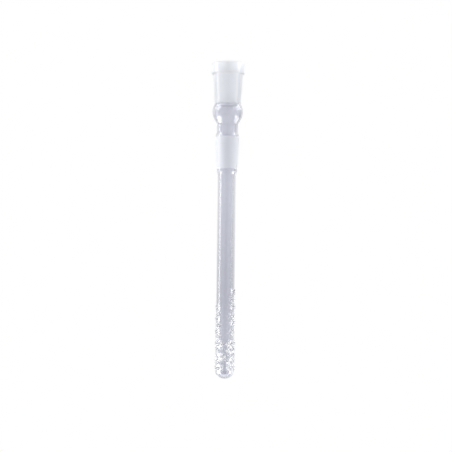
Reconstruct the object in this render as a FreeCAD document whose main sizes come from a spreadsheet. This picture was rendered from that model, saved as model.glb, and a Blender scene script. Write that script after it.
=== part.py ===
"""Ground-joint gas diffuser tube: a lampworked glass inlet tube, as a parametric FreeCAD document.

One glass tube with a ground socket at its mouth, a bulb, a ground cone that seats it in a vessel's
socket, and a long stem that ends in a perforated, closed diffuser. The glassworker fuses it from
blanks and drawn sections, and each of those is its own solid here, meeting its neighbours face to
face where the real sections are fused.

Frame: millimetres, +Z along the bore towards the socket's mouth, origin on the axis at the gauge
plane of the ground cone, where the cone is widest.
"""

import FreeCAD, Part

import math
import os

import Sketcher

# Driving dimensions, in millimetres and degrees. Heights are measured along Z from the gauge plane.
DIMENSIONS = {
    "gauge_diameter": 14.5,  # large end of both ground joints
    "joint_taper": 0.1,  # loss of diameter per millimetre of length
    "mouth_height": 44.8,
    "rim_diameter": 19.9,
    "rim_length": 6.7,
    "rim_rounding": 0.8,
    "mouth_rounding": 0.4,
    "socket_foot_height": 20.0,
    "socket_top_diameter": 17.9,
    "bulb_diameter": 18.5,
    "bulb_height": 15.1,
    "bulb_wall": 1.5,
    "neck_top_height": 7.7,
    "neck_foot_height": 2.4,
    "neck_diameter": 12.8,
    "neck_bore": 9.2,
    "cone_length": 19.5,
    "cone_wall": 2.0,
    "cone_crown_rounding": 1.2,
    "shoulder_length": 4.0,
    "stem_diameter": 10.8,
    "stem_bore": 6.8,
    "stem_length": 68.5,
    "diffuser_length": 50.4,
    "diffuser_foot_diameter": 11.2,
    "tip_height": 4.8,
    "tip_corner_radius": 4.4,
    "tip_floor_thickness": 2.0,
    "tip_bore_corner_radius": 2.4,
    "hole_bore": 1.4,
    "hole_mouth": 2.1,
    "lip_diameter": 3.1,
    "lip_rise": 0.5,
    "large_hole_bore": 2.7,
    "large_hole_mouth": 3.5,
    "large_lip_diameter": 4.6,
    "large_lip_rise": 0.6,
    "lip_rounding": 0.45,
    "lip_root": 1.0,  # how far a lip's blank reaches into the tube's wall
    "hole_reach": 4.4,  # how far a hole's cutter reaches inwards from the tube's surface
    "girdle_pitch": 3.65,  # step between the rings of holes that go all the way round
    "girdle_top_below_cone": 125.9,
    "right_flank_pitch": 4.9,  # step between the rows of holes that only the two flanks have
    "right_flank_top_below_cone": 94.2,
    "left_flank_pitch": 3.6,
    "left_flank_top_below_cone": 104.0,
}

GIRDLE_ROWS = 5
GIRDLE_ANGLES = (24.0, 62.0, 100.0, 140.0, -152.0, -114.0, -66.0, -26.0)
FLANK_ROWS = 6
FLANK_SPREAD = 30.0  # odd rows of a flank hold two holes, this far to each side of the flank's middle
LARGE_HOLE = (-17.0, 133.8)  # angle and depth of the one large hole
LARGE_HOLE_CLEARANCE = 4.4  # no small hole has its centre nearer the large one's than this
ANGLE_WOBBLE = 3.0  # the holes are made by hand, so none is quite in line
HEIGHT_WOBBLE = 0.2

# Names of the derived heights, as expressions of the sheet.
RIM_FOOT = "Dims.mouth_height - Dims.rim_length"
CONE_FOOT = "-Dims.cone_length"
STEM_TOP = "-(Dims.cone_length + Dims.shoulder_length)"
STEM_FOOT = "-(Dims.cone_length + Dims.shoulder_length + Dims.stem_length)"
DIFFUSER_FOOT = STEM_FOOT + " - Dims.diffuser_length"
TIP_BOTTOM = DIFFUSER_FOOT + " - Dims.tip_height"

GAUGE_RADIUS = "Dims.gauge_diameter / 2"
STEM_RADIUS = "Dims.stem_diameter / 2"
STEM_BORE_RADIUS = "Dims.stem_bore / 2"
NECK_RADIUS = "Dims.neck_diameter / 2"
NECK_BORE_RADIUS = "Dims.neck_bore / 2"
CONE_FOOT_RADIUS = "(Dims.gauge_diameter - Dims.joint_taper * Dims.cone_length) / 2"
CONE_FOOT_BORE_RADIUS = CONE_FOOT_RADIUS + " - Dims.cone_wall"
BULB_RADIUS = "Dims.bulb_diameter / 2"
BULB_BORE_RADIUS = "Dims.bulb_diameter / 2 - Dims.bulb_wall"
DIFFUSER_FOOT_RADIUS = "Dims.diffuser_foot_diameter / 2"


def socket_bore_radius(height):
    """The radius of the socket's ground bore at a height, as an expression: widest at the mouth."""
    return f"(Dims.gauge_diameter - Dims.joint_taper * (Dims.mouth_height - ({height}))) / 2"


def bulb_top_radius(radius):
    """Where a wall of the bulb, a sphere of that radius, meets the foot of the socket."""
    return f"sqrt(({radius}) ^ 2 - (Dims.socket_foot_height - Dims.bulb_height) ^ 2)"


doc = FreeCAD.newDocument("DiffuserTube")
sheet = doc.addObject("Spreadsheet::Sheet", "Dims")


def fill_sheet():
    """Writes each driving dimension to a row of the sheet, with its name beside it as the alias."""
    for row, (alias, value) in enumerate(DIMENSIONS.items(), start=1):
        sheet.set(f"A{row}", alias)
        sheet.set(f"B{row}", str(value))
        sheet.setAlias(f"B{row}", alias)
    doc.recompute()


def value_of(expression):
    """The number that an expression of the sheet gives."""
    names = {alias: sheet.get(alias) for alias in DIMENSIONS}
    text = expression.replace("Dims.", "")
    for alias in sorted(names, key=len, reverse=True):
        text = text.replace(alias, repr(float(names[alias])))
    return FreeCAD.Units.Quantity(text).Value


def origin_plane(body, role):
    return next(f for f in body.Origin.OriginFeatures if f.Role == role)


def new_profile(name):
    """A body with an empty sketch on its XZ plane, where x is the radius and y the height."""
    body = doc.addObject("PartDesign::Body", name)
    body.Label = name
    sketch = body.newObject("Sketcher::SketchObject", name + "_profile")
    sketch.AttachmentSupport = [(origin_plane(body, "XZ_Plane"), "")]
    sketch.MapMode = "FlatFace"
    return body, sketch


def point(radius, height):
    return FreeCAD.Vector(value_of(radius), value_of(height), 0)


def pin(sketch, geometry, end, radius, height):
    """Ties one end of a sketch line or arc to a radius and a height, both expressions of the sheet."""
    for kind, expression in (("DistanceX", radius), ("DistanceY", height)):
        number = value_of(expression)
        if abs(number) < 1e-9:
            axis = {"DistanceX": -2, "DistanceY": -1}[kind]
            sketch.addConstraint(Sketcher.Constraint("PointOnObject", geometry, end, axis))
            continue
        index = sketch.addConstraint(Sketcher.Constraint(kind, -1, 1, geometry, end, number))
        sketch.setExpression(f"Constraints[{index}]", expression)


def join(sketch, first, second):
    """Makes the end of one edge the start of the next."""
    sketch.addConstraint(Sketcher.Constraint("Coincident", first, 2, second, 1))


def fix_radius(sketch, geometry, radius):
    index = sketch.addConstraint(Sketcher.Constraint("Radius", geometry, value_of(radius)))
    sketch.setExpression(f"Constraints[{index}]", radius)


def fix_height(sketch, geometry, end, height):
    """Ties one end or the centre of an edge to a height alone."""
    constraint = Sketcher.Constraint("DistanceY", -1, 1, geometry, end, value_of(height))
    index = sketch.addConstraint(constraint)
    sketch.setExpression(f"Constraints[{index}]", height)


def add_arc(sketch, centre, radius, begin, finish):
    circle = Part.Circle(centre, FreeCAD.Vector(0, 0, 1), radius)
    return sketch.addGeometry(Part.ArcOfCircle(circle, begin, finish), False)


def add_cap(sketch, first, second, start, stop):
    """Closes an outline with a straight edge between the ends of two others, given as (edge, end)."""
    line = sketch.addGeometry(Part.LineSegment(point(*start), point(*stop)), False)
    sketch.addConstraint(Sketcher.Constraint("Coincident", *first, line, 1))
    sketch.addConstraint(Sketcher.Constraint("Coincident", *second, line, 2))


def revolve(body, sketch):
    """Turns the profile a full circle about the axis."""
    turn = body.newObject("PartDesign::Revolution", body.Label + "_revolution")
    turn.Profile = sketch
    turn.ReferenceAxis = (sketch, ["V_Axis"])
    turn.Angle = 360.0
    doc.recompute()
    return turn


def turned_body(name, corners):
    """A body turned from a closed outline of straight edges, each corner a (radius, height) pair."""
    body, sketch = new_profile(name)
    places = [point(*corner) for corner in corners]
    count = len(corners)
    for i in range(count):
        sketch.addGeometry(Part.LineSegment(places[i], places[(i + 1) % count]), False)
    for i in range(count):
        join(sketch, i, (i + 1) % count)
        pin(sketch, i, 1, *corners[i])
    revolve(body, sketch)
    return body


def round_edge(body, radius, height, rounding):
    """Rounds the circular edge at a radius and height by the sheet's rounding of that name."""
    base = body.Tip
    names = [
        f"Edge{i}"
        for i, edge in enumerate(base.Shape.Edges, start=1)
        if isinstance(edge.Curve, Part.Circle)
        and abs(edge.Curve.Radius - value_of(radius)) < 1e-4
        and abs(edge.Curve.Center.z - value_of(height)) < 1e-4
    ]
    fillet = body.newObject("PartDesign::Fillet", f"{body.Label}_{rounding}")
    fillet.Base = (base, names)
    fillet.Radius = value_of("Dims." + rounding)
    fillet.setExpression("Radius", "Dims." + rounding)
    body.Tip = fillet
    doc.recompute()


def make_mouth_rim():
    """The thick collar at the socket's mouth, with a flat ground end and fire-polished edges."""
    rim_radius = "Dims.rim_diameter / 2"
    body = turned_body(
        "mouth_rim",
        [
            (socket_bore_radius(RIM_FOOT), RIM_FOOT),
            (rim_radius, RIM_FOOT),
            (rim_radius, "Dims.mouth_height"),
            (GAUGE_RADIUS, "Dims.mouth_height"),
        ],
    )
    round_edge(body, rim_radius, "Dims.mouth_height", "rim_rounding")
    round_edge(body, rim_radius, RIM_FOOT, "rim_rounding")
    round_edge(body, GAUGE_RADIUS, "Dims.mouth_height", "mouth_rounding")
    return body


def make_ground_socket():
    """The socket's wall below the rim: a ground 1:10 bore inside and a drawn taper outside."""
    foot = "Dims.socket_foot_height"
    return turned_body(
        "ground_socket",
        [
            (socket_bore_radius(foot), foot),
            (bulb_top_radius(BULB_RADIUS), foot),
            ("Dims.socket_top_diameter / 2", RIM_FOOT),
            (socket_bore_radius(RIM_FOOT), RIM_FOOT),
        ],
    )


def bulb_wall(sketch, radius, neck_end):
    """One wall of the bulb, from the socket's foot: an arc about the bulb's centre and a straight
    flare that leaves it tangentially and ends at the neck. Returns the numbers of the two edges."""
    centre = point("0", "Dims.bulb_height")
    top = point(bulb_top_radius(radius), "Dims.socket_foot_height") - centre
    reach = point(*neck_end) - centre
    size = value_of(radius)
    leave = math.atan2(reach.y, reach.x) + math.acos(size / reach.Length)
    touch = centre + FreeCAD.Vector(math.cos(leave), math.sin(leave), 0) * size
    arc = add_arc(sketch, centre, size, leave, math.atan2(top.y, top.x))
    flare = sketch.addGeometry(Part.LineSegment(touch, point(*neck_end)), False)
    pin(sketch, arc, 3, "0", "Dims.bulb_height")
    fix_radius(sketch, arc, radius)
    sketch.addConstraint(Sketcher.Constraint("Tangent", arc, 1, flare, 1))
    pin(sketch, flare, 2, *neck_end)
    fix_height(sketch, arc, 2, "Dims.socket_foot_height")
    return arc, flare


def make_bulb():
    """The blown bulb between socket and neck."""
    body, sketch = new_profile("expansion_bulb")
    foot, neck = "Dims.socket_foot_height", "Dims.neck_top_height"
    outer_neck, inner_neck = (NECK_RADIUS, neck), (NECK_BORE_RADIUS, neck)
    outer_top = (bulb_top_radius(BULB_RADIUS), foot)
    inner_top = (bulb_top_radius(BULB_BORE_RADIUS), foot)
    outer_arc, outer_flare = bulb_wall(sketch, BULB_RADIUS, outer_neck)
    inner_arc, inner_flare = bulb_wall(sketch, BULB_BORE_RADIUS, inner_neck)
    add_cap(sketch, (outer_arc, 2), (inner_arc, 2), outer_top, inner_top)
    add_cap(sketch, (outer_flare, 2), (inner_flare, 2), outer_neck, inner_neck)
    revolve(body, sketch)
    return body


def make_neck():
    """The short plain tube between the bulb and the ground cone."""
    top, foot = "Dims.neck_top_height", "Dims.neck_foot_height"
    return turned_body(
        "neck_tube",
        [
            (NECK_BORE_RADIUS, foot),
            (NECK_RADIUS, foot),
            (NECK_RADIUS, top),
            (NECK_BORE_RADIUS, top),
        ],
    )


def make_ground_cone():
    """The ground cone, with the rounded crown that leads from the neck to its widest place."""
    crown = "Dims.neck_foot_height"
    body = turned_body(
        "ground_cone",
        [
            (CONE_FOOT_BORE_RADIUS, CONE_FOOT),
            (CONE_FOOT_RADIUS, CONE_FOOT),
            (GAUGE_RADIUS, "0"),
            (NECK_RADIUS, crown),
            (NECK_BORE_RADIUS, crown),
            (GAUGE_RADIUS + " - Dims.cone_wall", "0"),
        ],
    )
    round_edge(body, GAUGE_RADIUS, "0", "cone_crown_rounding")
    return body


def ogee(sketch, top, foot):
    """Two tangent arcs of one size, from a wide upper end to a narrow lower one, upright at both.
    Returns the numbers of the upper and the lower arc."""
    high, low = point(*top), point(*foot)
    across, down = high.x - low.x, high.y - low.y
    size = (across**2 + down**2) / (4 * across)
    sweep = math.asin(down / 2 / size)
    upper = add_arc(sketch, FreeCAD.Vector(high.x - size, high.y, 0), size, -sweep, 0)
    lower = add_arc(sketch, FreeCAD.Vector(low.x + size, low.y, 0), size, math.pi - sweep, math.pi)
    pin(sketch, upper, 2, *top)
    pin(sketch, lower, 2, *foot)
    sketch.addConstraint(Sketcher.Constraint("Tangent", upper, 1, lower, 1))
    sketch.addConstraint(Sketcher.Constraint("Equal", upper, lower))
    fix_height(sketch, upper, 3, top[1])
    return upper, lower


def make_shoulder():
    """The drawn-down shoulder from the cone's small end to the stem."""
    body, sketch = new_profile("cone_shoulder")
    outer_top, outer_foot = (CONE_FOOT_RADIUS, CONE_FOOT), (STEM_RADIUS, STEM_TOP)
    inner_top, inner_foot = (CONE_FOOT_BORE_RADIUS, CONE_FOOT), (STEM_BORE_RADIUS, STEM_TOP)
    outer_high, outer_low = ogee(sketch, outer_top, outer_foot)
    inner_high, inner_low = ogee(sketch, inner_top, inner_foot)
    add_cap(sketch, (outer_high, 2), (inner_high, 2), outer_top, inner_top)
    add_cap(sketch, (outer_low, 2), (inner_low, 2), outer_foot, inner_foot)
    revolve(body, sketch)
    return body


def make_stem():
    """The long plain tube."""
    return turned_body(
        "stem_tube",
        [
            (STEM_BORE_RADIUS, STEM_FOOT),
            (STEM_RADIUS, STEM_FOOT),
            (STEM_RADIUS, STEM_TOP),
            (STEM_BORE_RADIUS, STEM_TOP),
        ],
    )


def diffuser_radius(depth):
    """The diffuser tube's outer radius at a depth below the gauge plane: it widens a little."""
    top, foot = -value_of(STEM_FOOT), -value_of(DIFFUSER_FOOT)
    narrow, wide = value_of(STEM_RADIUS), value_of(DIFFUSER_FOOT_RADIUS)
    return narrow + (wide - narrow) * (depth - top) / (foot - top)


def small_hole_places():
    """Lists (angle, depth below the gauge plane) of each small hole before any is left out.

    Angles are in degrees round +Z from the front, which faces -Y, and positive to the right."""
    places = []
    for flank, side in ((90.0, "right"), (-90.0, "left")):
        top = value_of(f"Dims.{side}_flank_top_below_cone")
        step = value_of(f"Dims.{side}_flank_pitch")
        for row in range(FLANK_ROWS):
            offsets = (0.0,) if row % 2 == 0 else (-FLANK_SPREAD, FLANK_SPREAD)
            places += [(flank + offset, top + row * step) for offset in offsets]
    top, step = value_of("Dims.girdle_top_below_cone"), value_of("Dims.girdle_pitch")
    for row in range(GIRDLE_ROWS):
        places += [(angle, top + row * step) for angle in GIRDLE_ANGLES]
    return [
        (
            angle + ANGLE_WOBBLE * math.sin(2.4 * number),
            depth + HEIGHT_WOBBLE * math.sin(1.7 * number + 1.0),
        )
        for number, (angle, depth) in enumerate(places)
    ]


def wall_placement(angle, depth):
    """A placement on the tube's surface whose own Z points straight out of the wall."""
    turn = math.radians(angle)
    out = FreeCAD.Vector(math.sin(turn), -math.cos(turn), 0)
    spot = out * diffuser_radius(depth) + FreeCAD.Vector(0, 0, -depth)
    return FreeCAD.Placement(spot, FreeCAD.Rotation(FreeCAD.Vector(0, 0, 1), out))


def make_lip(name, diameter, rise):
    """The blank of a hole's raised lip: a round button with a rounded top edge, sunk in the wall."""
    edge = f"{diameter} / 2"
    corners = [("0", "-Dims.lip_root"), (edge, "-Dims.lip_root"), (edge, rise), ("0", rise)]
    lip = turned_body(name, corners)
    round_edge(lip, edge, rise, "lip_rounding")
    return lip


def make_hole_cutter(name, bore, mouth, rise):
    """The cutter of one hole: a straight bore that flares through the height of the lip."""
    corners = [
        ("0", "-Dims.hole_reach"),
        (f"{bore} / 2", "-Dims.hole_reach"),
        (f"{bore} / 2", f"-{rise} / 2"),
        (f"{mouth} / 2", rise),
        (f"{mouth} / 2", f"{rise} * 2"),
        ("0", f"{rise} * 2"),
    ]
    return turned_body(name, corners)


def copies(original, places):
    """Links to an original, one at each (angle, depth) on the diffuser's wall."""
    links = []
    for angle, depth in places:
        link = doc.addObject("App::Link", original.Label + "_copy")
        link.setLink(original)
        link.LinkTransform = False
        link.Placement = wall_placement(angle, depth)
        links.append(link)
    return links


def make_diffuser():
    """The perforated tube: each hole is pushed through from outside and has a raised, melted lip."""
    tube = turned_body(
        "diffuser_blank",
        [
            (STEM_BORE_RADIUS, DIFFUSER_FOOT),
            (DIFFUSER_FOOT_RADIUS, DIFFUSER_FOOT),
            (STEM_RADIUS, STEM_FOOT),
            (STEM_BORE_RADIUS, STEM_FOOT),
        ],
    )
    lip = make_lip("hole_lip", "Dims.lip_diameter", "Dims.lip_rise")
    large_lip = make_lip("large_hole_lip", "Dims.large_lip_diameter", "Dims.large_lip_rise")
    cutter = make_hole_cutter("hole_cutter", "Dims.hole_bore", "Dims.hole_mouth", "Dims.lip_rise")
    large_cutter = make_hole_cutter(
        "large_hole_cutter",
        "Dims.large_hole_bore",
        "Dims.large_hole_mouth",
        "Dims.large_lip_rise",
    )
    centre = wall_placement(*LARGE_HOLE).Base
    places = [
        place
        for place in small_hole_places()
        if wall_placement(*place).Base.distanceToPoint(centre) > LARGE_HOLE_CLEARANCE
    ]
    lipped = doc.addObject("Part::MultiFuse", "lipped_tube")
    lipped.Shapes = [tube, *copies(lip, places), *copies(large_lip, [LARGE_HOLE])]
    holes = doc.addObject("Part::Compound", "hole_cutters")
    holes.Links = [*copies(cutter, places), *copies(large_cutter, [LARGE_HOLE])]
    diffuser = doc.addObject("Part::Cut", "diffuser_tube")
    diffuser.Base = lipped
    diffuser.Tool = holes
    diffuser.Label = "diffuser_tube"
    print(f"{len(places) + 1} diffuser holes")
    return diffuser


def dome(sketch, start, bottom, corner):
    """A rounded tube end: a corner arc from the wall and a flatter arc that crosses the axis.
    Returns the numbers of the corner arc and the flatter one."""
    wall, low = point(*start), point(*bottom)
    size = value_of(corner)
    inset, spare = wall.x - size, wall.y - low.y - size
    rise = (inset**2 - spare**2) / (2 * spare)  # of the flatter arc's centre above the corner's
    lean = math.atan2(rise, inset)
    turned = add_arc(sketch, FreeCAD.Vector(inset, wall.y, 0), size, -lean, 0)
    flat_centre = FreeCAD.Vector(0, wall.y + rise, 0)
    flat = add_arc(sketch, flat_centre, flat_centre.y - low.y, -math.pi / 2, -lean)
    pin(sketch, turned, 2, *start)
    fix_radius(sketch, turned, corner)
    fix_height(sketch, turned, 3, start[1])
    sketch.addConstraint(Sketcher.Constraint("Tangent", turned, 1, flat, 2))
    sketch.addConstraint(Sketcher.Constraint("PointOnObject", flat, 3, -2))
    pin(sketch, flat, 1, *bottom)
    return turned, flat


def make_tip():
    """The closed end, a rounded bottom like a test tube's."""
    body, sketch = new_profile("diffuser_tip")
    outer_top = (DIFFUSER_FOOT_RADIUS, DIFFUSER_FOOT)
    inner_top = (STEM_BORE_RADIUS, DIFFUSER_FOOT)
    outer_low, inner_low = ("0", TIP_BOTTOM), ("0", TIP_BOTTOM + " + Dims.tip_floor_thickness")
    outer_corner, outer_flat = dome(sketch, outer_top, outer_low, "Dims.tip_corner_radius")
    inner_corner, inner_flat = dome(sketch, inner_top, inner_low, "Dims.tip_bore_corner_radius")
    add_cap(sketch, (outer_corner, 2), (inner_corner, 2), outer_top, inner_top)
    add_cap(sketch, (outer_flat, 1), (inner_flat, 1), outer_low, inner_low)
    revolve(body, sketch)
    return body


def export(parts):
    """Checks every object of the document and each sub-part's shape, then writes the STEP files."""
    doc.recompute()
    for item in doc.Objects:
        if "Invalid" in item.State or "Error" in item.State:
            raise RuntimeError(f"{item.Name} failed: {item.State}")
    for item in parts:
        shape = item.Shape
        if shape.isNull() or not shape.isValid() or len(shape.Solids) != 1:
            raise RuntimeError(f"{item.Label} isn't one valid solid")
    os.makedirs("parts", exist_ok=True)
    for item in parts:
        item.Shape.exportStep(os.path.join("parts", item.Label + ".step"))
        box = item.Shape.optimalBoundingBox()
        print(
            f"{item.Label}: {item.Shape.Volume:.1f} mm3, z {box.ZMin:.2f} to {box.ZMax:.2f}, "
            f"across {box.XLength:.2f} and {box.YLength:.2f}"
        )


fill_sheet()
export(
    [
        make_mouth_rim(),
        make_ground_socket(),
        make_bulb(),
        make_neck(),
        make_ground_cone(),
        make_shoulder(),
        make_stem(),
        make_diffuser(),
        make_tip(),
    ]
)
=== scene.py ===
"""Looks of the ground-joint gas diffuser tube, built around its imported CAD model.

Each fused section of the tube is rebuilt as a smooth glass mesh in place of its CAD node, in the
same frame: +Z towards the socket's mouth, origin at the gauge plane of the ground cone. The tube's
lengths are in millimetres until a mesh is made, and the studio's are in metres.
"""

import math

import bpy
from mathutils import Euler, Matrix, Vector, geometry, noise


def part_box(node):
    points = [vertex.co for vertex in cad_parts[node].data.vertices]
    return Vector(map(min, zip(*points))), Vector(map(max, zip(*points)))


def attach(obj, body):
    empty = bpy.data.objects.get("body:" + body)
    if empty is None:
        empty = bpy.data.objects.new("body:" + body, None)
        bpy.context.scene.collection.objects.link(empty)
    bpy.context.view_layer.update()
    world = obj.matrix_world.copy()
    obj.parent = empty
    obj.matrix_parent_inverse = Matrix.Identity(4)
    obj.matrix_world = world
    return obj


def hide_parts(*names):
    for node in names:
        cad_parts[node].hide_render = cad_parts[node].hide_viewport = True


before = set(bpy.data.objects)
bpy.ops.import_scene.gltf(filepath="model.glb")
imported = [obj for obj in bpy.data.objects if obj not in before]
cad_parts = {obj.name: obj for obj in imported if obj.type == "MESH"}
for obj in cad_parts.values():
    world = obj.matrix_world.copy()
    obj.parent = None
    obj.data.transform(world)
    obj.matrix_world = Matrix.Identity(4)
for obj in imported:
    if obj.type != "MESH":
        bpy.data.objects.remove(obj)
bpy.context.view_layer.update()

MM = 0.001
SEGMENTS = 180  # round the axis, shared by every section so that their seams match

# The material slots of every section, in the order of MATERIALS.
CLEAR, GROUND, SEAM, PAINTED_LIGHTER_CLEAR, LIPS, BORE = range(6)


def heights(node):
    """A CAD node's (lowest, highest) height in millimetres."""
    low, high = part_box(node)
    return low.z / MM, high.z / MM


RIM_FOOT, MOUTH = heights("mouth_rim")
SOCKET_FOOT = heights("ground_socket")[0]
BULB_FOOT = heights("expansion_bulb")[0]
NECK_FOOT = heights("neck_tube")[0]
CONE_FOOT = heights("ground_cone")[0]
SHOULDER_FOOT = heights("cone_shoulder")[0]
STEM_FOOT = heights("stem_tube")[0]
DIFFUSER_FOOT = heights("diffuser_tube")[0]
TIP_BOTTOM = heights("diffuser_tip")[0]

GAUGE_RADIUS = 7.25
JOINT_SLOPE = 0.05  # loss of radius per millimetre along a ground joint
RIM_RADIUS = 9.95
RIM_TOP_ROUNDING, RIM_FOOT_ROUNDING = 1.0, 0.75
MOUTH_BEVEL = 0.4
SOCKET_TOP_RADIUS = 8.95
SOCKET_INSET, SOCKET_INSET_DROP = 0.03, 0.25  # a slight step in, just under the collar
BULB_RADIUS = 9.25
BULB_HEIGHT = 15.1
BULB_WALL = 1.5
NECK_RADIUS, NECK_BORE = 6.4, 4.6
CROWN_ROUNDING = 1.2
FROST_TOP = 0.35  # the frosting reaches this far above the gauge plane
CONE_WALL = 2.0
STEM_RADIUS, STEM_BORE = 5.4, 3.4
DIFFUSER_FOOT_RADIUS = 5.6
TIP_CORNER, TIP_BORE_CORNER = 4.4, 2.4
TIP_FLOOR = 2.0

BULB_TOP_RADIUS = math.sqrt(BULB_RADIUS**2 - (SOCKET_FOOT - BULB_HEIGHT) ** 2)
CONE_FOOT_RADIUS = GAUGE_RADIUS + JOINT_SLOPE * CONE_FOOT
CONE_FOOT_BORE = CONE_FOOT_RADIUS - CONE_WALL


# ---- Outlines: lists of (radius, height) ----


def run(start, end, step):
    """Points along a straight run, both ends included, no further apart than step."""
    length = math.dist(start, end)
    count = max(1, math.ceil(length / step))
    return [
        tuple(a + (b - a) * i / count for a, b in zip(start, end)) for i in range(count + 1)
    ]


def arc(centre, radius, begin, finish, count):
    """Points along an arc between two angles in degrees, measured from straight outwards."""
    points = []
    for i in range(count + 1):
        turn = math.radians(begin + (finish - begin) * i / count)
        points.append((centre[0] + radius * math.cos(turn), centre[1] + radius * math.sin(turn)))
    return points


def turned(vector, turn):
    """A flat vector turned anticlockwise by an angle in radians."""
    x, y = vector
    cosine, sine = math.cos(turn), math.sin(turn)
    return Vector((x * cosine - y * sine, x * sine + y * cosine))


def rounded(corners, count=7):
    """An outline through (radius, height, rounding) corners, each rounded by an arc."""
    points = []
    for i, (x, z, size) in enumerate(corners):
        if not size:
            points.append((x, z))
            continue
        here = Vector((x, z))
        back = (Vector(corners[i - 1][:2]) - here).normalized()
        ahead = (Vector(corners[i + 1][:2]) - here).normalized()
        half = back.angle(ahead) / 2
        centre = here + (back + ahead).normalized() * size / math.sin(half)
        first = here + back * size / math.tan(half) - centre
        last = here + ahead * size / math.tan(half) - centre
        sweep = first.angle_signed(last)
        points += [tuple(centre + turned(first, -sweep * k / count)) for k in range(count + 1)]
    return points


def densified(points, step):
    """The same outline with points added where two are further apart than step."""
    dense = [points[0]]
    for start, end in zip(points, points[1:]):
        dense += run(start, end, step)[1:]
    return dense


def socket_bore(height):
    """The (radius, height) of the socket's ground bore at a height."""
    return GAUGE_RADIUS - JOINT_SLOPE * (MOUTH - height), height


def bulb_outline(radius, neck_radius):
    """One wall of the bulb from the socket's foot down: an arc, then a flare tangent to it."""
    top = math.degrees(math.asin((SOCKET_FOOT - BULB_HEIGHT) / radius))
    reach = Vector((neck_radius, BULB_FOOT - BULB_HEIGHT))
    leave = math.degrees(math.atan2(reach.y, reach.x) + math.acos(radius / reach.length))
    wall = arc((0.0, BULB_HEIGHT), radius, top, leave, count=34)
    return wall + run(wall[-1], (neck_radius, BULB_FOOT), step=0.5)[1:]


def ogee(top, foot, count=12):
    """Two tangent arcs of one size from a wide upper end to a narrow lower one."""
    across, down = top[0] - foot[0], top[1] - foot[1]
    size = (across**2 + down**2) / (4 * across)
    sweep = math.degrees(math.asin(down / 2 / size))
    upper = arc((top[0] - size, top[1]), size, 0, -sweep, count)
    lower = arc((foot[0] + size, foot[1]), size, 180 - sweep, 180, count)
    return upper + lower[1:]


def dome(radius, start, bottom, corner):
    """A rounded tube end down to the axis: a corner arc, then a flatter one."""
    inset, spare = radius - corner, start - bottom - corner
    rise = (inset**2 - spare**2) / (2 * spare)
    lean = math.degrees(math.atan2(rise, inset))
    wall = arc((inset, start), corner, 0, -lean, count=16)
    flat = arc((0.0, start + rise), start + rise - bottom, -lean, -90, count=14)
    return wall + flat[1:-1] + [(0.0, bottom)]


# ---- Hand-worked glass: nothing is quite true ----

SEAM_SWELLS = (BULB_FOOT - 0.9, NECK_FOOT - 0.9, SHOULDER_FOOT + 0.3, STEM_FOOT + 3.0)
SWELL_LENGTH = 0.55
OUTER_SWELL, BORE_SWELL = 0.03, 0.045
# A wave's size, its frequency across and along the tube, and its own start along it.
WIDE_WAVE = (0.018, 0.09, 0.035, 0.0)
FINE_WAVE = (0.004, 0.3, 0.11, 9.0)
BORE_SHIFT = 40.0  # keeps the bore's waves apart from the outside's
BORE_FADE, CONE_FADE, RIM_FADE = 3.0, 1.5, 4.0  # lengths over which the sway dies out
AXIS_RADIUS = 0.05  # within this there is no sway
FULL_SWAY_RADIUS = 3.0


def wave(x, y, height, shift, size, across, along, start):
    spot = Vector((x * across + shift, y * across, height * along + start))
    return size * noise.noise(spot)


def sway(radius, angle, height, is_bore):
    """How far the surface of clear glass stands off its true radius, in millimetres."""
    spot = radius * math.cos(angle), radius * math.sin(angle), height
    shift = BORE_SHIFT if is_bore else 0.0
    waves = wave(*spot, shift, *WIDE_WAVE) + wave(*spot, shift, *FINE_WAVE)
    swell = sum(math.exp(-(((height - level) / SWELL_LENGTH) ** 2)) for level in SEAM_SWELLS)
    return waves + (BORE_SWELL if is_bore else OUTER_SWELL) * swell


def sway_share(height, is_bore):
    """The sway dies out towards the ground surfaces, which are true cones."""
    if is_bore:
        return min(1.0, max(0.0, (SOCKET_FOOT - height) / BORE_FADE))
    if CONE_FOOT < height < 0.0:
        return 0.0
    below_rim = min(1.0, max(0.0, (RIM_FOOT - height) / RIM_FADE))
    return min(1.0, abs(height) / CONE_FADE, abs(height - CONE_FOOT) / CONE_FADE) * below_rim


def settled(radius, angle, height, is_bore):
    """The radius of clear glass after its sway."""
    if radius < AXIS_RADIUS:
        return radius
    share = sway_share(height, is_bore) * min(1.0, radius / FULL_SWAY_RADIUS)
    return radius + share * sway(radius, angle, height, is_bore)


# ---- Meshes ----


def mesh_piece(name, verts, faces, kinds):
    """A smooth-shaded piece in place of its CAD node, with a material slot per face kind."""
    mesh = bpy.data.meshes.new(name)
    mesh.from_pydata([tuple(c * MM for c in v) for v in verts], [], faces)
    for material in MATERIALS:
        mesh.materials.append(material)
    mesh.polygons.foreach_set("material_index", kinds)
    mesh.polygons.foreach_set("use_smooth", [True] * len(faces))
    mesh.update()
    mesh.validate()
    mark_seam_edges(mesh)
    piece = bpy.data.objects.new(name, mesh)
    bpy.context.scene.collection.objects.link(piece)
    return piece


def mark_seam_edges(mesh):
    """Shades each side of the edge round a seam face on its own."""
    kinds_at = {}
    for face in mesh.polygons:
        for key in face.edge_keys:
            kinds_at.setdefault(key, set()).add(face.material_index == SEAM)
    sharp = mesh.attributes.new("sharp_edge", "BOOLEAN", "EDGE")
    for edge in mesh.edges:
        sharp.data[edge.index].value = len(kinds_at.get(edge.key, ())) > 1


def polar(radius, angle, height):
    return radius * math.cos(angle), radius * math.sin(angle), height


def ring(radius, height, is_bore):
    """One ring of points round the axis, or a lone point on it."""
    if not radius:
        return [(0.0, 0.0, height)]
    angles = [2 * math.pi * k / SEGMENTS for k in range(SEGMENTS)]
    return [polar(settled(radius, angle, height, is_bore), angle, height) for angle in angles]


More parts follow.
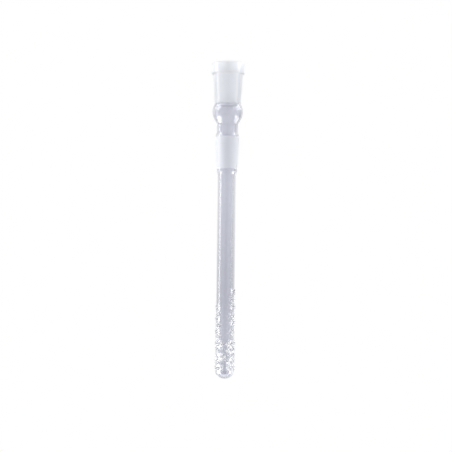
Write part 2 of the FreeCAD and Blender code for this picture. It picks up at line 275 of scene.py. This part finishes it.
def lathe(name, outline):
    """A piece turned from a closed outline of (radius, height, is_bore, kind) points, in order.

    A point's kind is that of the strip from it to the next one."""
    verts, faces, kinds, rings = [], [], [], []
    for radius, height, is_bore, _ in outline:
        points = ring(radius, height, is_bore)
        rings.append(range(len(verts), len(verts) + len(points)))
        verts += points
    for i, (_, _, _, kind) in enumerate(outline):
        here, there = rings[i], rings[(i + 1) % len(rings)]
        if len(here) == 1 and len(there) == 1:
            continue
        for k in range(SEGMENTS):
            j = (k + 1) % SEGMENTS
            if len(here) == 1:
                face = (here[0], there[k], there[j])
            elif len(there) == 1:
                face = (here[k], there[0], here[j])
            else:
                face = (here[k], there[k], there[j], here[j])
            faces.append(face)
            kinds.append(kind)
    return mesh_piece(name, verts, faces, kinds)


def section(name, outer, bore, kind_at=lambda height: CLEAR, bore_kind=CLEAR, top_kind=SEAM):
    """A tube section from its outer and bore outlines, both from the top down.

    kind_at gives the outside's kind at a height. The foot is a seam, and so is the top unless
    top_kind says otherwise."""
    outline = [(r, z, False, kind_at(z)) for r, z in outer[:-1]]
    outline.append((*outer[-1], False, SEAM))
    outline += [(r, z, True, bore_kind) for r, z in reversed(bore[1:])]
    outline.append((*bore[0], True, top_kind))
    return lathe(name, outline)


# ---- Materials ----


def new_material(name):
    material = bpy.data.materials.new(name)
    material.use_nodes = True
    nodes = material.node_tree.nodes
    nodes.clear()
    return material, nodes, material.node_tree.links


def noise_node(nodes, links, vector, scale, detail):
    node = nodes.new("ShaderNodeTexNoise")
    node.inputs["Scale"].default_value = scale
    node.inputs["Detail"].default_value = detail
    links.new(vector, node.inputs["Vector"])
    return node.outputs["Fac"]


def stretched(nodes, links, scale):
    """Object coordinates scaled per axis, so that a pattern can run along or round the tube."""
    place = nodes.new("ShaderNodeTexCoord")
    mapping = nodes.new("ShaderNodeMapping")
    mapping.inputs["Scale"].default_value = scale
    links.new(place.outputs["Object"], mapping.inputs["Vector"])
    return mapping.outputs["Vector"]


def ranged(nodes, links, value, low, high, to_low, to_high):
    node = nodes.new("ShaderNodeMapRange")
    node.inputs["From Min"].default_value = low
    node.inputs["From Max"].default_value = high
    node.inputs["To Min"].default_value = to_low
    node.inputs["To Max"].default_value = to_high
    links.new(value, node.inputs["Value"])
    return node.outputs["Result"]


def ramp(nodes, links, value, stops):
    node = nodes.new("ShaderNodeValToRGB")
    elements = node.color_ramp.elements
    for i, (at, colour) in enumerate(stops):
        element = elements[i] if i < 2 else elements.new(at)
        element.position = at
        element.color = (*colour, 1.0)
    links.new(value, node.inputs["Fac"])
    return node.outputs["Color"]


def bump(nodes, links, height, distance, strength):
    node = nodes.new("ShaderNodeBump")
    node.inputs["Distance"].default_value = distance
    node.inputs["Strength"].default_value = strength
    links.new(height, node.inputs["Height"])
    return node.outputs["Normal"]


GLASS_IOR = 1.47


def glass_shader(nodes):
    shader = nodes.new("ShaderNodeBsdfPrincipled")
    shader.inputs["IOR"].default_value = GLASS_IOR
    shader.inputs["Transmission Weight"].default_value = 1.0
    return shader


def show(nodes, links, shader_output):
    """Makes a shader's output the material's surface."""
    output = nodes.new("ShaderNodeOutputMaterial")
    links.new(shader_output, output.inputs["Surface"])


def mixed(nodes, links, share, first, second):
    """A share of the second shader over the first."""
    node = nodes.new("ShaderNodeMixShader")
    node.inputs["Fac"].default_value = share
    links.new(first, node.inputs[1])
    links.new(second, node.inputs[2])
    return node.outputs["Shader"]


def make_clear_glass(name, dark, light, haze_range, cord_height):
    """Drawn borosilicate: faint lengthwise cords in the tint and surface, and signs of handling."""
    material, nodes, links = new_material(name)
    shader = glass_shader(nodes)
    along = stretched(nodes, links, (1.0, 1.0, 0.04))
    cords = noise_node(nodes, links, along, scale=900.0, detail=2.0)
    tint = ramp(nodes, links, cords, [(0.3, dark), (0.7, light)])
    links.new(tint, shader.inputs["Base Color"])
    handled = stretched(nodes, links, (1.0, 1.0, 0.6))
    smudges = noise_node(nodes, links, handled, scale=160.0, detail=4.0)
    haze = ranged(nodes, links, smudges, 0.5, 0.8, *haze_range)
    links.new(haze, shader.inputs["Roughness"])
    ripples = noise_node(nodes, links, along, scale=420.0, detail=1.0)
    relief = bump(nodes, links, ripples, cord_height, strength=0.5)
    links.new(relief, shader.inputs["Normal"])
    show(nodes, links, shader.outputs["BSDF"])
    return material


FROST_TINTS = [(0.3, (0.94, 0.95, 0.96)), (0.7, (0.97, 0.975, 0.98))]


def make_ground_glass(name, milk_share, milk_colour, front_share):
    """Ground joint: a milky, finely pitted skin with faint turning marks round the axis.

    Of the milk, front_share sends light back and the rest lets it through."""
    material, nodes, links = new_material(name)
    shader = glass_shader(nodes)
    place = stretched(nodes, links, (1.0, 1.0, 1.0))
    grain = noise_node(nodes, links, place, scale=4200.0, detail=2.0)
    clouds = noise_node(nodes, links, place, scale=260.0, detail=3.0)
    tint = ramp(nodes, links, clouds, FROST_TINTS)
    links.new(tint, shader.inputs["Base Color"])
    matt = ranged(nodes, links, clouds, 0.3, 0.7, 0.36, 0.44)
    links.new(matt, shader.inputs["Roughness"])
    round_axis = stretched(nodes, links, (0.05, 0.05, 1.0))
    turning = noise_node(nodes, links, round_axis, scale=2600.0, detail=2.0)
    total = nodes.new("ShaderNodeMath")
    total.operation = "ADD"
    links.new(grain, total.inputs[0])
    links.new(turning, total.inputs[1])
    relief = bump(nodes, links, total.outputs["Value"], distance=0.00002, strength=0.35)
    links.new(relief, shader.inputs["Normal"])
    through = nodes.new("ShaderNodeBsdfTranslucent")
    back = nodes.new("ShaderNodeBsdfDiffuse")
    for milk in (through, back):
        milk.inputs["Color"].default_value = (*milk_colour, 1.0)
    milky = mixed(nodes, links, front_share, through.outputs["BSDF"], back.outputs["BSDF"])
    show(nodes, links, mixed(nodes, links, milk_share, shader.outputs["BSDF"], milky))
    return material


def make_seam():
    """The face two fused sections share: the glass runs on, so nothing shows there."""
    material, nodes, links = new_material("fused_seam")
    shader = nodes.new("ShaderNodeBsdfTransparent")
    show(nodes, links, shader.outputs["BSDF"])
    return material


MATERIALS = [
    make_clear_glass(
        "clear_borosilicate", (0.783, 0.788, 0.84), (0.808, 0.812, 0.86), (0.02, 0.08), 0.00001
    ),
    # The ground cone's milk is greyer and bluer than the socket bore's: painted shade, which
    # darkens the cone's frosted middle.
    make_ground_glass("ground_cone_skin_painted_darker", 0.38, (0.82, 0.835, 0.88), 0.8),
    make_seam(),
    # The collar and the socket's outside take the same clear glass with a much lighter tint:
    # painted light, which makes them read brighter than the rest of the tube.
    make_clear_glass(
        "clear_joint_wall_painted_lighter", (0.96, 0.965, 0.975), (0.975, 0.98, 0.985), (0.02, 0.07), 0.00002
    ),
    # The hole lips, hole walls and the collar's underside: a hazy copy of the clear glass, whose
    # roughness is the lips' own and whose lighter tint is a painted highlight standing in for the
    # glints on the flared rims.
    make_clear_glass(
        "fire_polished_lips_painted_lighter", (0.92, 0.925, 0.935), (0.95, 0.955, 0.965), (0.55, 0.65), 0.00002
    ),
    # The socket bore's milk is near white, lighter than the cone's: painted light, which brightens
    # the enclosed bore.
    make_ground_glass("ground_bore_skin_painted_lighter", 0.85, (0.97, 0.98, 1.0), 0.45),
]


# ---- Turned sections ----


def make_mouth_rim():
    """The collar: ground bore and mouth, fire-polished outside, its underside rolled in. Its
    outside is a lighter copy of the clear glass, painted brighter.
    """
    inner_edge = GAUGE_RADIUS + MOUTH_BEVEL
    outer = rounded(
        [
            (inner_edge, MOUTH, 0.0),
            (RIM_RADIUS, MOUTH, RIM_TOP_ROUNDING),
            (RIM_RADIUS, RIM_FOOT, RIM_FOOT_ROUNDING),
            (SOCKET_TOP_RADIUS, RIM_FOOT, 0.0),
        ]
    )
    bevel = arc((inner_edge, MOUTH - MOUTH_BEVEL), MOUTH_BEVEL, 90, 180, count=4)
    bore = bevel[1:] + run(bevel[-1], socket_bore(RIM_FOOT), step=1.0)[1:]

    def kind_at(height):
        return PAINTED_LIGHTER_CLEAR if height > RIM_FOOT + RIM_FOOT_ROUNDING else LIPS

    return section("mouth_rim_glass", densified(outer, 0.8), bore, kind_at, BORE, BORE)


def make_socket():
    """The socket: clear wall outside, in a lighter copy of the clear glass that paints it brighter,
    and ground bore inside.
    """
    outer = [
        (SOCKET_TOP_RADIUS, RIM_FOOT),
        (SOCKET_TOP_RADIUS - SOCKET_INSET, RIM_FOOT - SOCKET_INSET_DROP),
        (BULB_TOP_RADIUS, SOCKET_FOOT),
    ]
    bore = run(socket_bore(RIM_FOOT), socket_bore(SOCKET_FOOT), step=1.0)
    return section("ground_socket_glass", densified(outer, 1.0), bore, lambda height: PAINTED_LIGHTER_CLEAR, BORE)


def make_bulb():
    return section(
        "bulb_glass",
        bulb_outline(BULB_RADIUS, NECK_RADIUS),
        bulb_outline(BULB_RADIUS - BULB_WALL, NECK_BORE),
    )


def make_cone():
    """The ground cone: clear crown above, ground skin outside below it."""
    outer = rounded(
        [
            (NECK_RADIUS, NECK_FOOT, 0.0),
            (GAUGE_RADIUS, 0.0, CROWN_ROUNDING),
            (CONE_FOOT_RADIUS, CONE_FOOT, 0.0),
        ]
    )
    bore = [
        (NECK_BORE, NECK_FOOT),
        (GAUGE_RADIUS - CONE_WALL, 0.0),
        (CONE_FOOT_BORE, CONE_FOOT),
    ]

    def kind_at(height):
        return GROUND if height < FROST_TOP else CLEAR

    return section("ground_cone_glass", densified(outer, 1.0), densified(bore, 1.0), kind_at)


def make_shoulder():
    return section(
        "shoulder_glass",
        ogee((CONE_FOOT_RADIUS, CONE_FOOT), (STEM_RADIUS, SHOULDER_FOOT)),
        ogee((CONE_FOOT_BORE, CONE_FOOT), (STEM_BORE, SHOULDER_FOOT)),
    )


def make_straight(name, radius, bore, top, foot, step):
    """A plain length of tube."""
    walls = [run((wall, top), (wall, foot), step) for wall in (radius, bore)]
    return section(name, *walls)


def make_tip():
    """The closed round end, open inwards to the diffuser's bore."""
    outer = dome(DIFFUSER_FOOT_RADIUS, DIFFUSER_FOOT, TIP_BOTTOM, TIP_CORNER)
    bore = dome(STEM_BORE, DIFFUSER_FOOT, TIP_BOTTOM + TIP_FLOOR, TIP_BORE_CORNER)
    return section("tip_glass", outer, bore)


# ---- The perforated diffuser ----

# Places are (angle in degrees from the front, depth below the gauge plane).
GIRDLE_ANGLES = (24.0, 62.0, 100.0, 140.0, -152.0, -114.0, -66.0, -26.0)
GIRDLE_ROWS, GIRDLE_TOP, GIRDLE_PITCH = 5, 125.9, 3.65
FLANKS = ((90.0, 94.2, 4.9), (-90.0, 104.0, 3.6))  # angle, depth of the top row, step between rows
FLANK_ROWS, FLANK_SPREAD = 6, 30.0
LARGE_HOLE = (-17.0, 133.8)
LARGE_HOLE_CLEARANCE = 4.4
# How far the holes stray from their places and from round, and how fast that changes from one hole
# to the next, in radians.
ANGLE_WOBBLE, ANGLE_BEAT = 3.0, 2.4
HEIGHT_WOBBLE, HEIGHT_BEAT, HEIGHT_START = 0.2, 1.7, 1.0
OVALITY, OVALITY_BEAT = 0.06, 5.1

HOLE_SIDES = 28
# A small hole's lip and bore as (distance from its axis, height over the wall): from the lip's foot
# over its crest to the edge of the hole, and then down through the wall.
LIP = [(1.9, 0.0), (1.72, 0.05), (1.55, 0.19), (1.4, 0.36), (1.26, 0.47), (1.12, 0.5), (1.0, 0.45)]
HOLE_EDGE = 0.92
HOLE_WALL = [(0.92, 0.36), (0.84, 0.15), (0.77, -0.2), (0.72, -0.7), (0.7, -1.2), (0.7, -1.6)]
HOLE_INNER_EDGE = 0.8
INNER_RINGS = [1.15, 0.95]  # round a hole's inner edge, as distances from its axis
LARGE_SIZE = 1.45  # the large hole's widths against a small one's
LARGE_LIP_GAIN, LARGE_BORE_GAIN = 1.2, 1.3
FAR_ROUND = 1.2  # radians round the tube beyond which a hole can't matter
LIP_REACH, NEIGHBOUR_REACH = 3.2, 6.5  # along the tube
LIP_FADE = 0.4  # a lip dies out this close to a seam
LIPS_SPREAD = LIP[1][0]  # how far from a hole's axis the lips' material reaches
BORE_SIDE = STEM_BORE + 0.5  # points within this radius are on the bore's side


def outer_radius(height):
    share = (STEM_FOOT - height) / (STEM_FOOT - DIFFUSER_FOOT)
    return STEM_RADIUS + (DIFFUSER_FOOT_RADIUS - STEM_RADIUS) * share


def bore_radius(height):
    return STEM_BORE


def hole_places():
    """Lists (angle in degrees from the front, height) of every small hole."""
    places = []
    for flank, top, step in FLANKS:
        for row in range(FLANK_ROWS):
            offsets = (0.0,) if row % 2 == 0 else (-FLANK_SPREAD, FLANK_SPREAD)
            places += [(flank + offset, top + row * step) for offset in offsets]
    for row in range(GIRDLE_ROWS):
        places += [(angle, GIRDLE_TOP + row * GIRDLE_PITCH) for angle in GIRDLE_ANGLES]
    return [
        (
            angle + ANGLE_WOBBLE * math.sin(ANGLE_BEAT * number),
            -(depth + HEIGHT_WOBBLE * math.sin(HEIGHT_BEAT * number + HEIGHT_START)),
        )
        for number, (angle, depth) in enumerate(places)
    ]


def wall_point(angle, height):
    turn = math.radians(angle)
    r = outer_radius(height)
    return Vector((r * math.sin(turn), -r * math.cos(turn), height))


class Hole:
    """One hole: its place, its size against a small hole's, and its profile."""

    def __init__(self, angle, height, number, is_large=False):
        self.turn = math.radians(angle - 90.0)  # measured from +X, as the rings are
        self.height = height
        self.size = LARGE_SIZE if is_large else 1.0
        self.lip_gain = LARGE_LIP_GAIN if is_large else 1.0
        self.bore_gain = LARGE_BORE_GAIN if is_large else 1.0
        self.squeeze = 1.0 + OVALITY * math.sin(OVALITY_BEAT * number)

    def spot(self, distance, side, radius):
        """The (angle, height) of a point at a distance from the hole's axis on that radius."""
        phase = 2 * math.pi * side / HOLE_SIDES
        across = distance * self.size * math.sin(phase) * self.squeeze
        along = distance * self.size * math.cos(phase) / self.squeeze
        return self.turn + math.asin(across / radius), self.height + along

    def distance(self, angle, height, radius):
        """How far a point of the wall is from the hole's axis, in small-hole millimetres."""
        gap = (angle - self.turn + math.pi) % (2 * math.pi) - math.pi
        if abs(gap) > FAR_ROUND:
            return math.inf
        across = radius * math.sin(gap) / self.squeeze
        return math.hypot(across, (height - self.height) * self.squeeze) / self.size


def make_holes():
    large_angle, large_depth = LARGE_HOLE
    centre = wall_point(large_angle, -large_depth)
    holes = []
    for angle, height in hole_places():
        if (wall_point(angle, height) - centre).length > LARGE_HOLE_CLEARANCE:
            holes.append(Hole(angle, height, len(holes)))
    holes.append(Hole(large_angle, -large_depth, len(holes), is_large=True))
    return holes


HOLES = make_holes()


def near_holes(height, reach=LIP_REACH):
    """The holes whose axis is within reach along the tube."""
    return [hole for hole in HOLES if abs(hole.height - height) < reach]


def lip_height(distance):
    """The lip's height over the wall at a distance from a hole's axis."""
    if distance >= LIP[0][0]:
        return 0.0
    profile = [*LIP, HOLE_WALL[0]]
    for (far, low), (near, high) in zip(profile, profile[1:]):
        if distance >= near:
            return low + (high - low) * (far - distance) / (far - near)
    return profile[-1][1]


def lip_at(angle, height, radius):
    """How far the lips raise the outside of the wall at a point."""
    ease = min(1.0, (height - DIFFUSER_FOOT) / LIP_FADE, (STEM_FOOT - height) / LIP_FADE)
    lips = [
        hole.lip_gain * lip_height(hole.distance(angle, height, radius))
        for hole in near_holes(height)
    ]
    return max([0.0, *lips]) * max(0.0, ease)


def is_on_lip(vert):
    """Whether a point of the mesh is on a hole's raised lip."""
    x, y, height = vert
    radius, angle = math.hypot(x, y), math.atan2(y, x)
    if radius < BORE_SIDE:
        return False
    return any(hole.distance(angle, height, radius) < LIPS_SPREAD for hole in near_holes(height))


CUT = math.radians(174.0 - 90.0)  # the unrolled wall starts between two columns of the girdle
UNROLL = 5.5  # radius at which the wall is unrolled for its triangulation
WIDTH = 2 * math.pi * UNROLL
GAP = 0.12  # between loose points and a border or a hole's outermost ring
RING_GAP = 0.04  # a ring's point is dropped unless a neighbour is this much further off
HOLE_INSIDE = 0.985  # a triangle is in a hole within this share of its edge
FILL_INSIDE, MERGE_DISTANCE = 1, 1e-7  # the triangulation's kind of output and its tolerance


def unrolled(angle):
    return ((angle - CUT) % (2 * math.pi)) * UNROLL


def rolled(x):
    return x / UNROLL + CUT


class Wall:
    """One wall of the diffuser, cut into triangles while unrolled, with every hole left open.

    points are (length round the tube, height). rims and sides are its four borders and loops are
    the edges of the holes, all as lists of indices."""

    def __init__(self, radius_at, hole_edge, ring_distances, column_step, row_step):
        self.radius_at = radius_at
        self.hole_edge = hole_edge
        self.rows = round((STEM_FOOT - DIFFUSER_FOOT) / row_step)
        self.points, self.edges = [], []
        self.add_border()
        self.loops = [self.add_loop(hole) for hole in HOLES]
        for hole in HOLES:
            self.add_rings(hole, ring_distances)
        self.add_grid(round(WIDTH / column_step), ring_distances[0] + GAP)
        self.triangulate()

    def add(self, x, height):
        self.points.append((x, height))
        return len(self.points) - 1

    def row_height(self, row):
        return STEM_FOOT + (DIFFUSER_FOOT - STEM_FOOT) * row / self.rows

    def add_border(self):
        steps = range(SEGMENTS + 1)
        self.rims = [
            [self.add(WIDTH * k / SEGMENTS, height) for k in steps]
            for height in (STEM_FOOT, DIFFUSER_FOOT)
        ]
        self.sides = []
        for end in (0, -1):
            x = WIDTH if end else 0.0
            inner = [self.add(x, self.row_height(row)) for row in range(1, self.rows)]
            self.sides.append([self.rims[0][end], *inner, self.rims[1][end]])
        for chain in (*self.rims, *self.sides):
            self.edges += list(zip(chain, chain[1:]))

    def add_loop(self, hole):
        """Adds a hole's edge."""
        loop = []
        for side in range(HOLE_SIDES):
            angle, height = hole.spot(self.hole_edge, side, self.radius_at(hole.height))
            loop.append(self.add(unrolled(angle), height))
        self.edges += list(zip(loop, loop[1:] + loop[:1]))
        return loop

    def add_rings(self, hole, distances):
        """Adds the rings of points that shape a hole's lip, up to the neighbours' own."""
        others = [h for h in near_holes(hole.height, NEIGHBOUR_REACH) if h is not hole]
        radius = self.radius_at(hole.height)
        for i, distance in enumerate(distances):
            for side in range(HOLE_SIDES):
                angle, height = hole.spot(distance, side + 0.5 * (i % 2), radius)
                nearest = min((h.distance(angle, height, radius) for h in others), default=math.inf)
                x = unrolled(angle)
                inside = DIFFUSER_FOOT + GAP < height < STEM_FOOT - GAP and GAP < x < WIDTH - GAP
                if inside and nearest >= distance + RING_GAP:
                    self.add(x, height)

    def add_grid(self, columns, clear_of):
        """Adds a grid of points over the rest of the wall, every second row half a step over."""
        for row in range(1, self.rows):
            height = self.row_height(row)
            radius = self.radius_at(height)
            close = near_holes(height)
            for k in range(1, columns):
                x = WIDTH * (k + 0.5 * (row % 2)) / columns
                if all(hole.distance(rolled(x), height, radius) > clear_of for hole in close):
                    self.add(x, height)

    def in_hole(self, x, height):
        radius, reach = self.radius_at(height), self.hole_edge * HOLE_INSIDE
        return any(h.distance(rolled(x), height, radius) < reach for h in near_holes(height))

    def triangulate(self):
        flat = [Vector(point) for point in self.points]
        result = geometry.delaunay_2d_cdt(flat, self.edges, [], FILL_INSIDE, MERGE_DISTANCE)
        points, _, triangles, origins = result[:4]
        index_of = {old: new for new, olds in enumerate(origins) for old in olds}
        self.triangles = []
        for triangle in triangles:
            middle = sum((points[i] for i in triangle), Vector((0.0, 0.0))) / len(triangle)
            if not self.in_hole(middle.x, middle.y):
                self.triangles.append(tuple(triangle))
        self.points = [tuple(point) for point in points]
        self.rims = [[index_of[i] for i in rim] for rim in self.rims]
        self.sides = [[index_of[i] for i in side] for side in self.sides]
        self.loops = [[index_of[i] for i in loop] for loop in self.loops]

    def roll_up(self, verts, faces, is_bore):
        """Adds the wall to a mesh, closed round the axis.

        Returns the mesh's indices of its two rims and of each hole's edge."""
        merged = dict(zip(self.sides[1], self.sides[0]))
        index_of = {}
        for i, (x, height) in enumerate(self.points):
            if i in merged:
                continue
            index_of[i] = len(verts)
            angle, radius = rolled(x), self.radius_at(height)
            r = settled(radius, angle, height, is_bore)
            if not is_bore:
                r += lip_at(angle, height, radius)
            verts.append(polar(r, angle, height))
        for i, j in merged.items():
            index_of[i] = index_of[j]
        for triangle in self.triangles:
            face = tuple(index_of[i] for i in triangle)
            faces.append(face[::-1] if is_bore else face)
        rims = [[index_of[i] for i in rim[:-1]] for rim in self.rims]
        return rims, [[index_of[i] for i in loop] for loop in self.loops]


def bridge(faces, first, second):
    """Joins two loops of the same length with quads."""
    for k in range(len(first)):
        j = (k + 1) % len(first)
        faces.append((first[k], first[j], second[j], second[k]))


def line_hole(verts, faces, hole, outer_loop, inner_loop):
    """Adds a hole's own wall, from its outer edge to its inner one."""
    last = outer_loop
    for distance, height in HOLE_WALL[1:]:
        reach = min(distance * hole.bore_gain, HOLE_EDGE)
        radius = outer_radius(hole.height) + height
        loop = []
        for side in range(HOLE_SIDES):
            loop.append(len(verts))
            verts.append(polar(radius, *hole.spot(reach, side, radius)))
        bridge(faces, loop, last)
        last = loop
    bridge(faces, inner_loop, last)


def make_diffuser():
    verts, faces = [], []
    lip_rings = [distance for distance, _ in LIP]
    outer = Wall(outer_radius, HOLE_EDGE, lip_rings, column_step=0.29, row_step=0.6)
    inner = Wall(bore_radius, HOLE_INNER_EDGE, INNER_RINGS, column_step=0.45, row_step=0.8)
    outer_rims, outer_loops = outer.roll_up(verts, faces, is_bore=False)
    inner_rims, inner_loops = inner.roll_up(verts, faces, is_bore=True)
    for hole, outer_loop, inner_loop in zip(HOLES, outer_loops, inner_loops):
        line_hole(verts, faces, hole, outer_loop, inner_loop)
    # Hole walls and lips take the lighter lips' glass, which paints them brighter.
    kinds = []
    for face in faces:
        is_hole_wall = len(face) == 4
        kinds.append(LIPS if is_hole_wall or any(is_on_lip(verts[i]) for i in face) else CLEAR)
    bridge(faces, outer_rims[0], inner_rims[0])
    bridge(faces, inner_rims[1], outer_rims[1])
    kinds += [SEAM] * (len(faces) - len(kinds))
    return mesh_piece("diffuser_glass", verts, faces, kinds)


pieces = {
    "mouth_rim": make_mouth_rim(),
    "ground_socket": make_socket(),
    "expansion_bulb": make_bulb(),
    "neck_tube": make_straight("neck_glass", NECK_RADIUS, NECK_BORE, BULB_FOOT, NECK_FOOT, 0.4),
    "ground_cone": make_cone(),
    "cone_shoulder": make_shoulder(),
    "stem_tube": make_straight(
        "stem_glass", STEM_RADIUS, STEM_BORE, SHOULDER_FOOT, STEM_FOOT, 1.0
    ),
    "diffuser_tip": make_tip(),
    "diffuser_tube": make_diffuser(),
}

for node, piece in pieces.items():
    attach(piece, "root")
    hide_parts(node)


# ---- Studio, in metres ----

CAMERA_PLACE = (-0.00017, -0.571, -0.0543)
FOCAL_LENGTH = 74.6
SENSOR_WIDTH = 36.0
ROLL = math.radians(0.72)


def make_camera():
    data = bpy.data.cameras.new("camera")
    data.lens = FOCAL_LENGTH
    data.sensor_width = SENSOR_WIDTH
    data.clip_start = 0.01
    camera = bpy.data.objects.new("camera", data)
    camera.location = CAMERA_PLACE
    level = Euler((math.radians(90.0), 0.0, 0.0)).to_matrix()
    camera.rotation_euler = (level @ Euler((0.0, 0.0, ROLL)).to_matrix()).to_euler()
    bpy.context.scene.collection.objects.link(camera)
    bpy.context.scene.camera = camera


# What the glass sees round it: (azimuth in degrees from behind the tube, right positive, radiance).
WALL_LIGHT = (
    (-180, 0.7),
    (-150, 1.1),
    (-125, 1.5),
    (-106, 1.1),
    (-92, 0.9),
    (-66, 0.95),
    (-50, 1.02),
    (-33, 0.92),
    (-17, 0.86),
    (-6, 0.84),
    (6, 0.84),
    (16, 0.88),
    (28, 0.86),
    (45, 0.69),
    (60, 0.70),
    (92, 0.68),
    (106, 0.8),
    (125, 1.5),
    (150, 1.1),
    (180, 0.7),
)
# The same against height: (sine of the elevation, share of the radiance).
WALL_FADE = (
    (-1.0, 0.7),
    (-0.35, 0.72),
    (-0.16, 0.86),
    (-0.115, 0.93),
    (-0.085, 0.84),
    (-0.05, 0.86),
    (0.03, 1.0),
    (0.2, 1.0),
    (0.45, 0.58),
    (1.0, 0.56),
)
WALL_TINT = (0.992, 1.0, 1.02)
# The ramps hold radiances and shares as parts of these.
RADIANCE_SCALE = 2.5
SHARE_SCALE = 2.0


def make_world():
    """White all round for the camera; the glass sees walls, brightest either side of the front."""
    world = bpy.data.worlds.new("studio")
    world.use_nodes = True
    nodes, links = world.node_tree.nodes, world.node_tree.links
    nodes.clear()
    place = nodes.new("ShaderNodeTexCoord")
    split = nodes.new("ShaderNodeSeparateXYZ")
    links.new(place.outputs["Generated"], split.inputs["Vector"])
    azimuth = nodes.new("ShaderNodeMath")
    azimuth.operation = "ARCTAN2"
    links.new(split.outputs["X"], azimuth.inputs[0])
    links.new(split.outputs["Y"], azimuth.inputs[1])
    along = ranged(nodes, links, azimuth.outputs["Value"], -math.pi, math.pi, 0.0, 1.0)
    stops = []
    for degrees, radiance in WALL_LIGHT:
        level = radiance / RADIANCE_SCALE
        stops.append(((degrees + 180) / 360, [level * tint for tint in WALL_TINT]))
    height = ranged(nodes, links, split.outputs["Z"], -1.0, 1.0, 0.0, 1.0)
    shares = [((z + 1) / 2, [share / SHARE_SCALE] * 3) for z, share in WALL_FADE]
    fade = ramp(nodes, links, height, shares)
    walls = nodes.new("ShaderNodeBackground")
    links.new(ramp(nodes, links, along, stops), walls.inputs["Color"])
    strength = ranged(nodes, links, fade, 0.0, 1.0, 0.0, SHARE_SCALE * RADIANCE_SCALE)
    links.new(strength, walls.inputs["Strength"])
    paper = nodes.new("ShaderNodeBackground")
    paper.inputs["Color"].default_value = (1.0, 1.0, 1.0, 1.0)
    path = nodes.new("ShaderNodeLightPath")
    mix = nodes.new("ShaderNodeMixShader")
    links.new(path.outputs["Is Camera Ray"], mix.inputs["Fac"])
    links.new(walls.outputs["Background"], mix.inputs[1])
    links.new(paper.outputs["Background"], mix.inputs[2])
    output = nodes.new("ShaderNodeOutputWorld")
    links.new(mix.outputs["Shader"], output.inputs["Surface"])
    bpy.context.scene.world = world


FLOOR_HEIGHT = -0.46
FLOOR_RADIUS = 0.62
FLOOR_SIDES = 96


def make_floor():
    """A pale round table top, well below the tube, which hangs free as if from a clamp."""
    corners = [2 * math.pi * k / FLOOR_SIDES for k in range(FLOOR_SIDES)]
    verts = [(0.0, 0.0, FLOOR_HEIGHT)]
    verts += [polar(FLOOR_RADIUS, corner, FLOOR_HEIGHT) for corner in corners]
    faces = [(0, k + 1, (k + 1) % FLOOR_SIDES + 1) for k in range(FLOOR_SIDES)]
    mesh = bpy.data.meshes.new("floor")
    mesh.from_pydata(verts, [], faces)
    floor = bpy.data.objects.new("floor", mesh)
    material, nodes, links = new_material("pale_floor")
    shader = nodes.new("ShaderNodeBsdfPrincipled")
    shader.inputs["Base Color"].default_value = (0.80, 0.80, 0.84, 1.0)
    shader.inputs["Roughness"].default_value = 0.85
    shader.inputs["Emission Color"].default_value = (1.0, 1.0, 1.0, 1.0)
    shader.inputs["Emission Strength"].default_value = 0.08
    show(nodes, links, shader.outputs["BSDF"])
    mesh.materials.append(material)
    bpy.context.scene.collection.objects.link(floor)


# The long strips draw the bright lines along the tube. The others stand steeply below and above
# it, where they reach the frosted glass, the bulb and the lips.
SOFTBOXES = (
    # name, place, height of its aim on the axis, size, radiance, whether it shows through
    ("left_softbox", (-0.62, -0.01, -0.25), -0.06, (0.18, 1.1), 5.6, False),
    ("right_softbox", (0.72, -0.16, -0.25), -0.06, (0.25, 1.1), 2.6, False),
    ("left_low", (-0.50, 0.05, -0.35), -0.03, (0.62, 0.26), 3.8, True),
    ("left_high", (-0.50, 0.05, 0.28), 0.0, (0.62, 0.26), 1.9, True),
    ("right_low", (0.54, 0.14, -0.35), -0.03, (0.62, 0.26), 3.1, True),
    ("right_high", (0.54, 0.14, 0.28), 0.0, (0.62, 0.26), 1.9, True),
    ("left_upper", (-0.62, -0.01, 0.36), 0.03, (0.22, 0.5), 3.4, True),
    ("right_upper", (0.70, -0.08, 0.36), 0.03, (0.28, 0.5), 2.2, True),
)


def make_softbox(name, place, aim_height, size, radiance, shows_through):
    """A rectangular soft light of an even brightness, facing a point of the axis.

    One that doesn't show through is mirrored by the glass, but isn't seen on its far side."""
    data = bpy.data.lights.new(name, "AREA")
    data.shape = "RECTANGLE"
    data.size, data.size_y = size
    data.energy = radiance * math.pi * size[0] * size[1]
    light = bpy.data.objects.new(name, data)
    light.location = place
    facing = Vector((0.0, 0.0, aim_height)) - Vector(place)
    light.rotation_euler = facing.to_track_quat("-Z", "Y").to_euler()
    light.visible_transmission = shows_through
    light.visible_camera = False
    bpy.context.scene.collection.objects.link(light)


make_camera()
make_world()
make_floor()
for softbox in SOFTBOXES:
    make_softbox(*softbox)

scene = bpy.context.scene
scene.view_settings.view_transform = "Standard"
scene.view_settings.look = "None"
scene.cycles.max_bounces = 32
scene.cycles.transmission_bounces = 32
scene.cycles.glossy_bounces = 12
scene.cycles.diffuse_bounces = 24
scene.cycles.filter_width = 2.0
scene.cycles.transparent_max_bounces = 48
scene.cycles.caustics_refractive = True
scene.cycles.caustics_reflective = True
